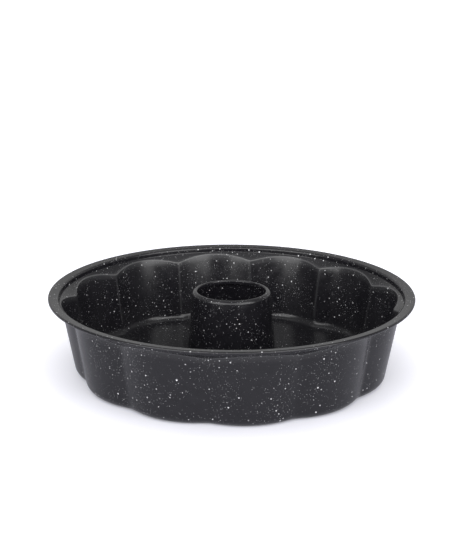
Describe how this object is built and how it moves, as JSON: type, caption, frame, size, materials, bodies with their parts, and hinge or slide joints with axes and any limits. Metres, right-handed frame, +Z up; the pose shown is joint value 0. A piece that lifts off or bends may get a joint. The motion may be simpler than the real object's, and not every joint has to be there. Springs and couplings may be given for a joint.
{
  "type": "bundt pan",
  "caption": "Round fluted ring cake pan of thin coated sheet steel, with a wired rim and an open tapered centre tube.",
  "frame": {"origin": "centre of the flat underside, on the pan's axis", "axes": "+Z up along the pan's axis, out of the bowl's mouth; +X through the middle of one flute"},
  "size_m": [0.28, 0.28, 0.062],
  "materials": {
    "body_coating": "satin dark grey non-stick coating with fine pale speckle",
    "tube_coating": "satin dark grey non-stick coating with fine pale speckle",
    "wire_steel": "drawn bright steel wire"
  },
  "bodies": {
    "root": {"pan_body": "body_coating", "centre_tube": "tube_coating", "rim_wire": "wire_steel"}
  },
  "joints": []
}
